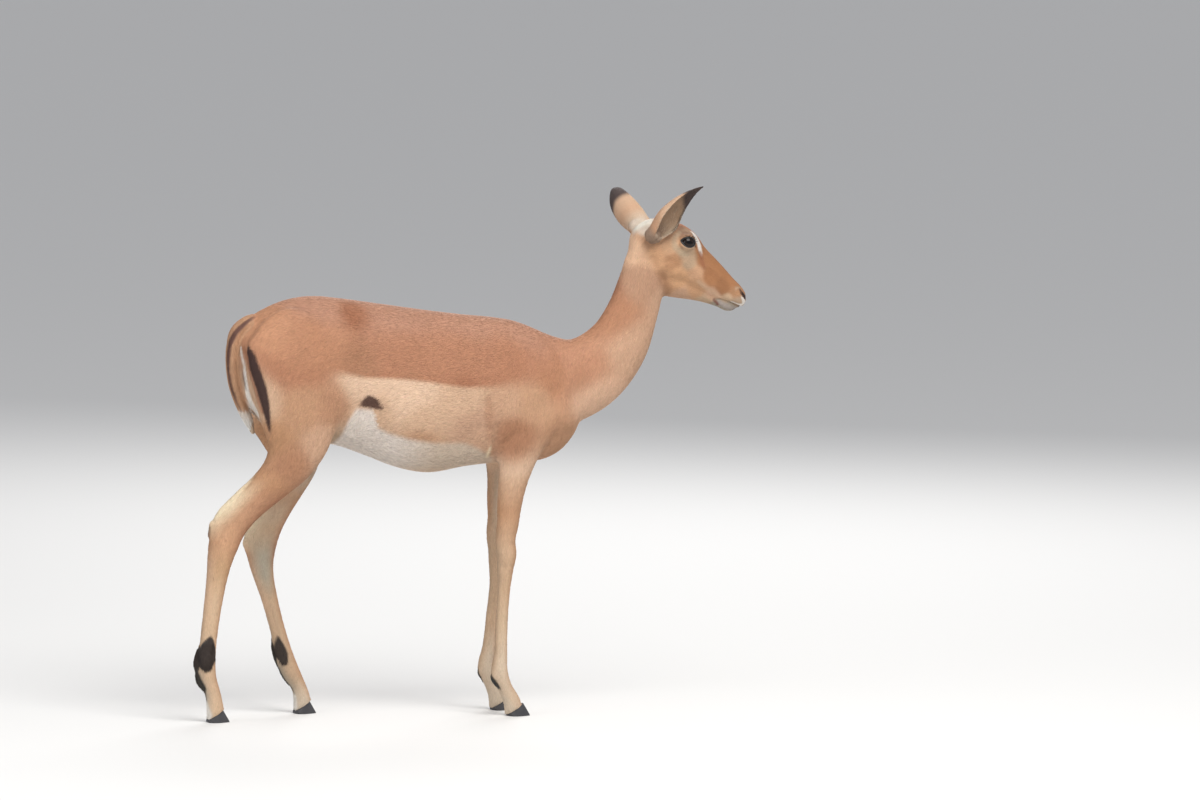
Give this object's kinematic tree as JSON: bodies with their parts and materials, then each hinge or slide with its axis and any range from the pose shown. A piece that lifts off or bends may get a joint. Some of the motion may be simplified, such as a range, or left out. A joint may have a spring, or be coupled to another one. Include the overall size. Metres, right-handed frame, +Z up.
{
  "type": "impala antelope",
  "caption": "Life-size standing impala ewe: slender hornless antelope on long thin legs, head up, ears turned apart, tail hanging.",
  "frame": {"origin": "on the ground under the middle of the animal's bounding box; the flat soles of the hooves lie on the plane z = 0", "axes": "+X towards the nose, +Y towards the animal's left side, +Z up"},
  "size_m": [1.2362, 0.2808, 1.1327],
  "materials": {
    "rust_coat": "short flat fur",
    "tan_coat": "short flat fur",
    "fawn_coat": "short flat fur",
    "eye": "wet and glossy",
    "hoof_horn": "satin horn"
  },
  "bodies": {
    "root": {"trunk": "rust_coat", "neck": "rust_coat", "head": "rust_coat", "tail": "fawn_coat", "ear_right": "fawn_coat", "ear_left": "fawn_coat", "eye_right": "eye", "eye_left": "eye", "foreleg_upper_right": "tan_coat", "foreleg_lower_right": "tan_coat", "foreleg_upper_left": "tan_coat", "foreleg_lower_left": "tan_coat", "hindleg_upper_right": "tan_coat", "hindleg_lower_right": "tan_coat", "hindleg_upper_left": "tan_coat", "hindleg_lower_left": "tan_coat", "hoof_fore_right_inner": "hoof_horn", "hoof_fore_right_outer": "hoof_horn", "hoof_fore_left_inner": "hoof_horn", "hoof_fore_left_outer": "hoof_horn", "hoof_hind_right_inner": "hoof_horn", "hoof_hind_right_outer": "hoof_horn", "hoof_hind_left_inner": "hoof_horn", "hoof_hind_left_outer": "hoof_horn"}
  },
  "joints": []
}
